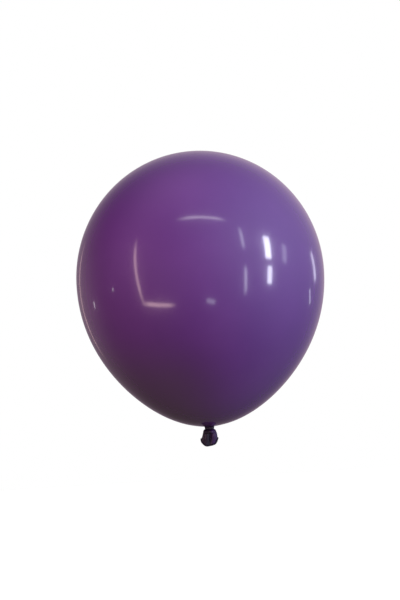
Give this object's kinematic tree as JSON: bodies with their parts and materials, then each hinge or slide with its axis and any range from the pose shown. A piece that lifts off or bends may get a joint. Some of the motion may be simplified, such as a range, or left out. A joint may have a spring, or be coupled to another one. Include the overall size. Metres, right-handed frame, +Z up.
{
  "type": "latex balloon",
  "caption": "Round inflated latex balloon with a gathered neck, a tied knot and a flared tail with a rolled lip.",
  "frame": {"origin": "on the balloon's own axis, level with the lowest point of the lip of its tail", "axes": "+Z runs up the balloon's axis from the tail to the crown; the tail's wide side lies along X, so -Y looks at its flat front"},
  "size_m": [0.2994, 0.2994, 0.3582],
  "materials": {
    "balloon_film": "gloss",
    "gathered_neck": "satin",
    "knotted_latex": "satin",
    "lip_bead": "gloss"
  },
  "bodies": {
    "envelope": {"envelope": "balloon_film"},
    "collar": {"neck_collar": "gathered_neck"},
    "knot": {"neck_throat": "gathered_neck", "knot_wrap": "knotted_latex", "knot_core": "knotted_latex"},
    "stem": {"tail_stem": "knotted_latex"},
    "tail": {"tail_skirt": "knotted_latex", "rolled_lip": "lip_bead"}
  },
  "joints": [
    {"name": "neck_nod", "type": "hinge", "parent": "envelope", "child": "collar", "pos_m": [0, 0, 0.0243], "axis": [1, 0, 0], "range_deg": [-18, 18]},
    {"name": "neck_lean", "type": "hinge", "parent": "collar", "child": "knot", "pos_m": [0, 0, 0.0243], "axis": [0, 1, 0], "range_deg": [-18, 18]},
    {"name": "tail_twist", "type": "hinge", "parent": "knot", "child": "stem", "pos_m": [0, 0, 0.0118], "axis": [0, 0, 1], "range_deg": [-60, 60]},
    {"name": "tail_flap", "type": "hinge", "parent": "stem", "child": "tail", "pos_m": [0, 0, 0.0118], "axis": [1, 0, 0], "range_deg": [-30, 30]}
  ]
}
